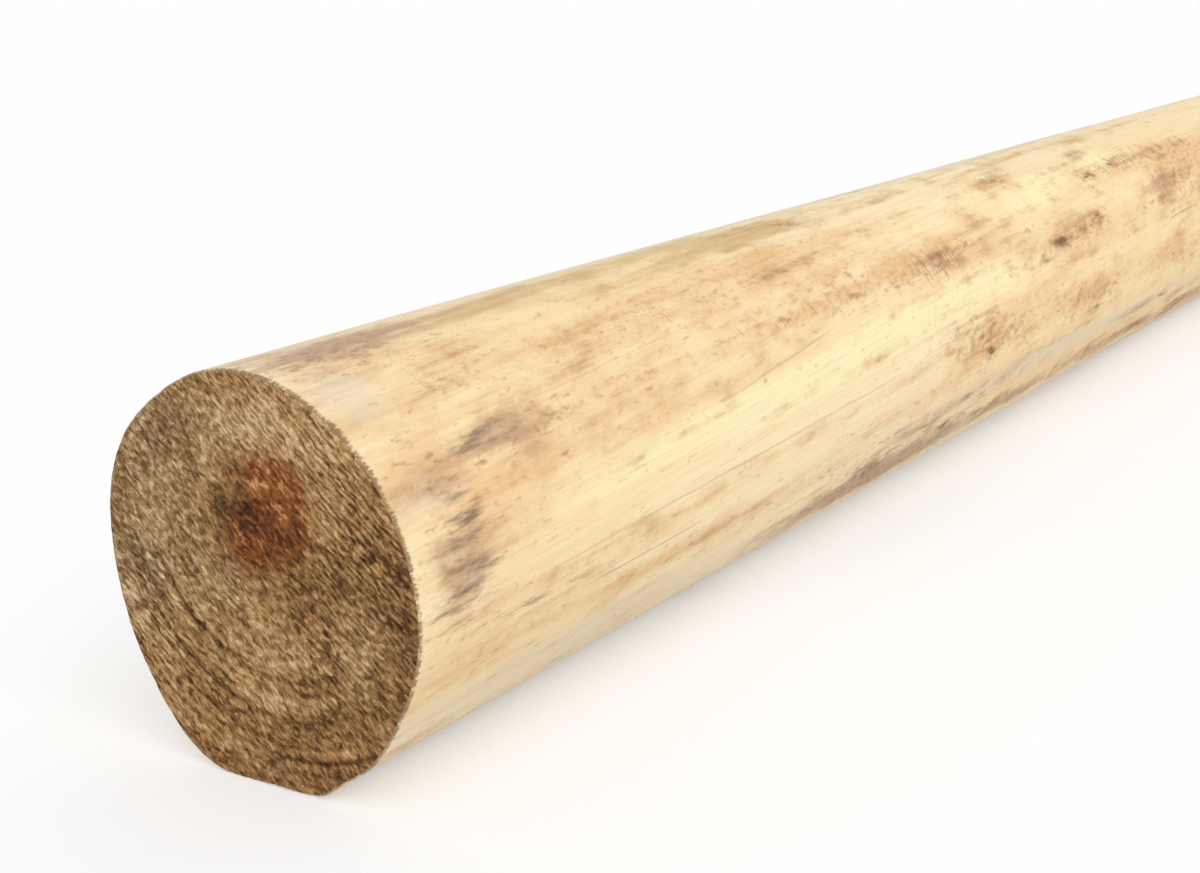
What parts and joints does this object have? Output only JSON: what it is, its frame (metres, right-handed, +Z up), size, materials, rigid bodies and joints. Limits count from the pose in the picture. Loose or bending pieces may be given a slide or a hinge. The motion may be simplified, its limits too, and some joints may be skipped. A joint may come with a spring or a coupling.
{
  "type": "round timber post",
  "caption": "Peeled round softwood post with a gentle taper, square-sawn ends and a slightly flattened underside, for fences, gates and railings.",
  "frame": {"origin": "on the ground, under the middle of the post as it lies", "axes": "+X along the post from its thick sawn butt to its thin top, +Z up from the flattened underside, +Y to the left when looking at the butt"},
  "size_m": [1.8, 0.1173, 0.1207],
  "materials": {
    "timber": "peeled and unplaned, matt, with brown and grey stains; ends left rough from the saw"
  },
  "bodies": {
    "root": {"post": "timber"}
  },
  "joints": []
}
